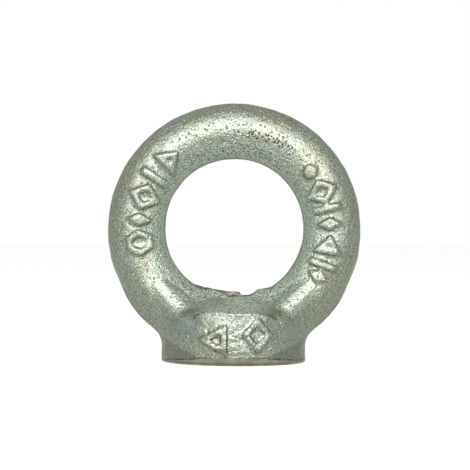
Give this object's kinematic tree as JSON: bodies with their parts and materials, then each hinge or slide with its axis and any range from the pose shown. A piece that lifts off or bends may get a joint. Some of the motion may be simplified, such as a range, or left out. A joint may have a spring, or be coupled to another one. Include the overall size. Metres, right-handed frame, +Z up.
{
  "type": "lifting eye nut",
  "caption": "Drop-forged lifting eye nut: a round bar eye on a round foot with a threaded hole, zinc plated, screwed onto a stud as a lifting point.",
  "frame": {"origin": "centre of the seat face, on the thread's axis", "axes": "+Z up the thread's axis towards the eye, X along the plane of the ring, -Y out of the front with the raised pad"},
  "size_m": [0.036, 0.0218, 0.0366],
  "materials": {
    "zinc_plated_forging": "bright zinc plating over an as-forged, slightly rough surface"
  },
  "bodies": {
    "root": {"eye_nut_body": "zinc_plated_forging"}
  },
  "joints": []
}
